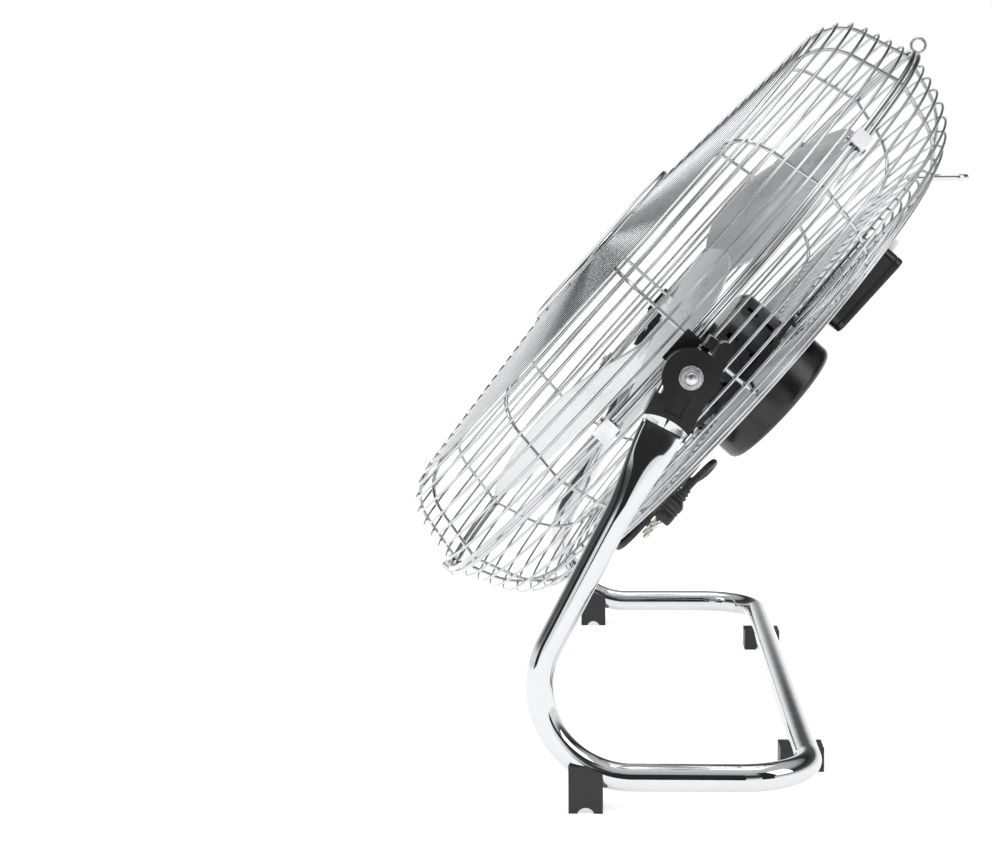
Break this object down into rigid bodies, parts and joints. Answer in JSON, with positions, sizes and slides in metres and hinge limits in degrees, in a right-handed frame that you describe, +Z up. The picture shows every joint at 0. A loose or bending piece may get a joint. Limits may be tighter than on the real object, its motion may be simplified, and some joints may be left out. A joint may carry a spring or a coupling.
{
  "type": "floor fan",
  "caption": "Chrome high-velocity floor fan with a wire-caged tilting head, metal blades and a bent-tube stand on black feet.",
  "frame": {"origin": "on the floor, below the middle of the fan's bounding box in its rest pose, the mains lead left out", "axes": "+Z up; the fan blows towards -Y and, in the rest pose, upwards; +X runs along the tilt axis to the side called right in the node names"},
  "size_m": [0.6224, 0.4321, 0.5408],
  "materials": {
    "chrome": "bright chrome plate on steel",
    "black_plastic": "black moulded plastic with a fine grain",
    "black_metal": "black satin enamel on pressed steel",
    "aluminium": "rolled sheet, softly brushed",
    "zinc_steel": "bright zinc plate",
    "core_steel": "stacked laminations",
    "copper": "varnished winding wire",
    "cord_rubber": "black smooth sheath",
    "tie_plastic": "black tie strap",
    "knob_plastic": "off-white moulded plastic",
    "plug_plastic": "black moulded plastic",
    "plug_brass": "nickelled brass"
  },
  "bodies": {
    "stand": {"stand_tube": "chrome", "pivot_cover_left": "black_plastic", "pivot_cover_right": "black_plastic", "front_foot_left": "black_plastic", "front_foot_right": "black_plastic", "rear_foot_left": "black_plastic", "rear_foot_right": "black_plastic", "foot_screws": "zinc_steel"},
    "head": {"front_rings": "chrome", "front_ribs": "chrome", "rear_rings": "chrome", "rear_ribs": "chrome", "rim_clips": "zinc_steel", "clip_screws": "zinc_steel", "top_hook": "chrome", "bottom_latch": "zinc_steel", "centre_badge": "chrome", "pivot_bracket_left": "black_metal", "pivot_bracket_right": "black_metal", "pivot_studs": "zinc_steel", "pivot_spacers": "black_plastic", "pivot_washers": "zinc_steel", "pivot_nuts": "zinc_steel", "motor_front_shell": "black_metal", "motor_rear_shell": "black_metal", "motor_screws": "zinc_steel", "stator_core": "core_steel", "stator_windings": "copper", "front_bearing": "zinc_steel", "rear_bearing": "zinc_steel", "back_plate": "black_metal", "rear_cover": "black_plastic", "cover_screws": "zinc_steel", "run_capacitor": "aluminium", "control_box": "black_plastic", "control_box_lid": "black_plastic", "box_screws": "zinc_steel", "switch_body": "black_plastic", "carry_handle": "chrome", "cord_gland": "cord_rubber", "power_cord": "cord_rubber", "cord_hank": "cord_rubber", "plug_lead": "cord_rubber", "cord_tie": "tie_plastic", "plug_body": "plug_plastic", "plug_pins": "plug_brass"},
    "rotor": {"motor_shaft": "zinc_steel", "rotor_core": "core_steel", "blade_hub": "zinc_steel", "hub_nut": "zinc_steel", "blade_rivets": "zinc_steel", "blade_1": "aluminium", "blade_2": "aluminium", "blade_3": "aluminium"},
    "knob": {"speed_knob": "knob_plastic", "knob_shaft": "zinc_steel"}
  },
  "joints": [
    {"name": "head_tilt", "type": "hinge", "parent": "stand", "child": "head", "pos_m": [0, -0.0056, 0.292], "axis": [1, 0, 0], "range_deg": [0, 60]},
    {"name": "blade_spin", "type": "hinge", "parent": "head", "child": "rotor", "pos_m": [0, -0.00433, 0.31508], "axis": [0, -0.7431, 0.6691], "continuous": true},
    {"name": "knob_turn", "type": "hinge", "parent": "head", "child": "knob", "pos_m": [0, 0.15827, 0.36714], "axis": [0, 0.6691, 0.7431], "range_deg": [0, 135]}
  ]
}
